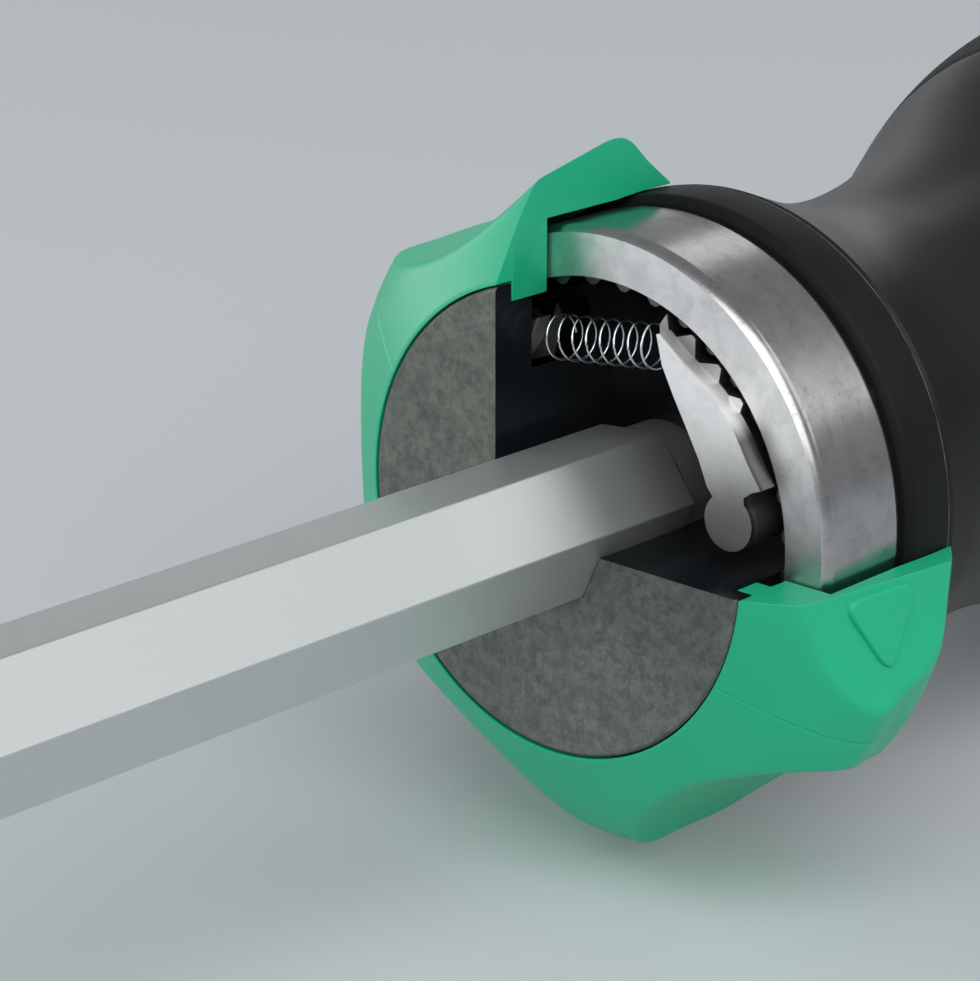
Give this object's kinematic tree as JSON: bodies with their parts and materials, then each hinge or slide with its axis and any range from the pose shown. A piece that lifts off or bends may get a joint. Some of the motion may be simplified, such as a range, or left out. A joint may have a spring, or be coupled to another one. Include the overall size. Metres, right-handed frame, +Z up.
{
  "type": "ratcheting screwdriver",
  "caption": "Ratcheting screwdriver with a scooped selector ring, hexagonal blade and bit holder, its head cut away over a quarter to show the pawls.",
  "frame": {"origin": "centre of the bit holder's mouth, on the tool's axis", "axes": "+X runs along the tool from the bit to the handle, +Z up, -Y faces the side from which the cut-away quarter shows"},
  "size_m": [0.2182, 0.0368, 0.0368],
  "materials": {
    "blade_steel": "satin nickel plate",
    "sintered_steel": "sintered and oiled, fine dark mottle",
    "pin_steel": "ground",
    "pawl_steel": "tumbled, satin",
    "spring_wire": "drawn wire",
    "green_plastic": "moulded, satin",
    "ring_steel": "turned, satin",
    "black_collar": "black oxide, smooth",
    "bearing_bronze": "oiled bronze",
    "handle_plastic": "moulded, satin black",
    "grip_rubber": "soft moulded grip, dark grey",
    "magnet": "plated magnet",
    "bit_steel": "phosphated tool steel"
  },
  "bodies": {
    "handle": {"handle_core": "handle_plastic", "soft_grip": "grip_rubber", "end_cap": "handle_plastic", "collar_ring": "black_collar", "tooth_ring": "ring_steel", "ring_dowels": "pin_steel", "journal_bush": "bearing_bronze", "thrust_washer": "bearing_bronze"},
    "hub_and_blade": {"hub": "sintered_steel", "hex_blade": "blade_steel", "pawl_pin_right": "pin_steel", "pawl_pin_left": "pin_steel", "pawl_spring": "spring_wire", "detent_ball": "pin_steel", "detent_spring": "spring_wire", "shaft_washer": "pin_steel", "retaining_ring": "spring_wire", "holder_sleeve": "blade_steel", "holder_magnet": "magnet"},
    "selector": {"selector_ring": "green_plastic"},
    "right_pawl": {"pawl_right": "pawl_steel"},
    "left_pawl": {"pawl_left": "pawl_steel"},
    "bit": {"screwdriver_bit": "bit_steel"}
  },
  "joints": [
    {"name": "hub_spin", "type": "hinge", "parent": "handle", "child": "hub_and_blade", "pos_m": [0.095, 0, 0], "axis": [1, 0, 0], "continuous": true},
    {"name": "selector_turn", "type": "hinge", "parent": "hub_and_blade", "child": "selector", "pos_m": [0.095, 0, 0], "axis": [1, 0, 0], "range_deg": [0, 45]},
    {"name": "pawl_right_tilt", "type": "hinge", "parent": "hub_and_blade", "child": "right_pawl", "pos_m": [0.098, -0.00845, 0.00146], "axis": [1, 0, 0], "range_deg": [-7.7, 0], "deforming": ["pawl_spring"]},
    {"name": "pawl_left_tilt", "type": "hinge", "parent": "hub_and_blade", "child": "left_pawl", "pos_m": [0.098, 0.00845, 0.00146], "axis": [1, 0, 0], "range_deg": [-7.7, 0]},
    {"name": "bit_pull", "type": "slide", "parent": "hub_and_blade", "child": "bit", "axis": [-1, 0, 0], "range_m": [0, 0.012]}
  ],
  "couplings": [
    {"joint": "pawl_right_tilt", "follows": "selector_turn", "ratio": -0.1707},
    {"joint": "pawl_left_tilt", "follows": "selector_turn", "ratio": -0.1707}
  ]
}
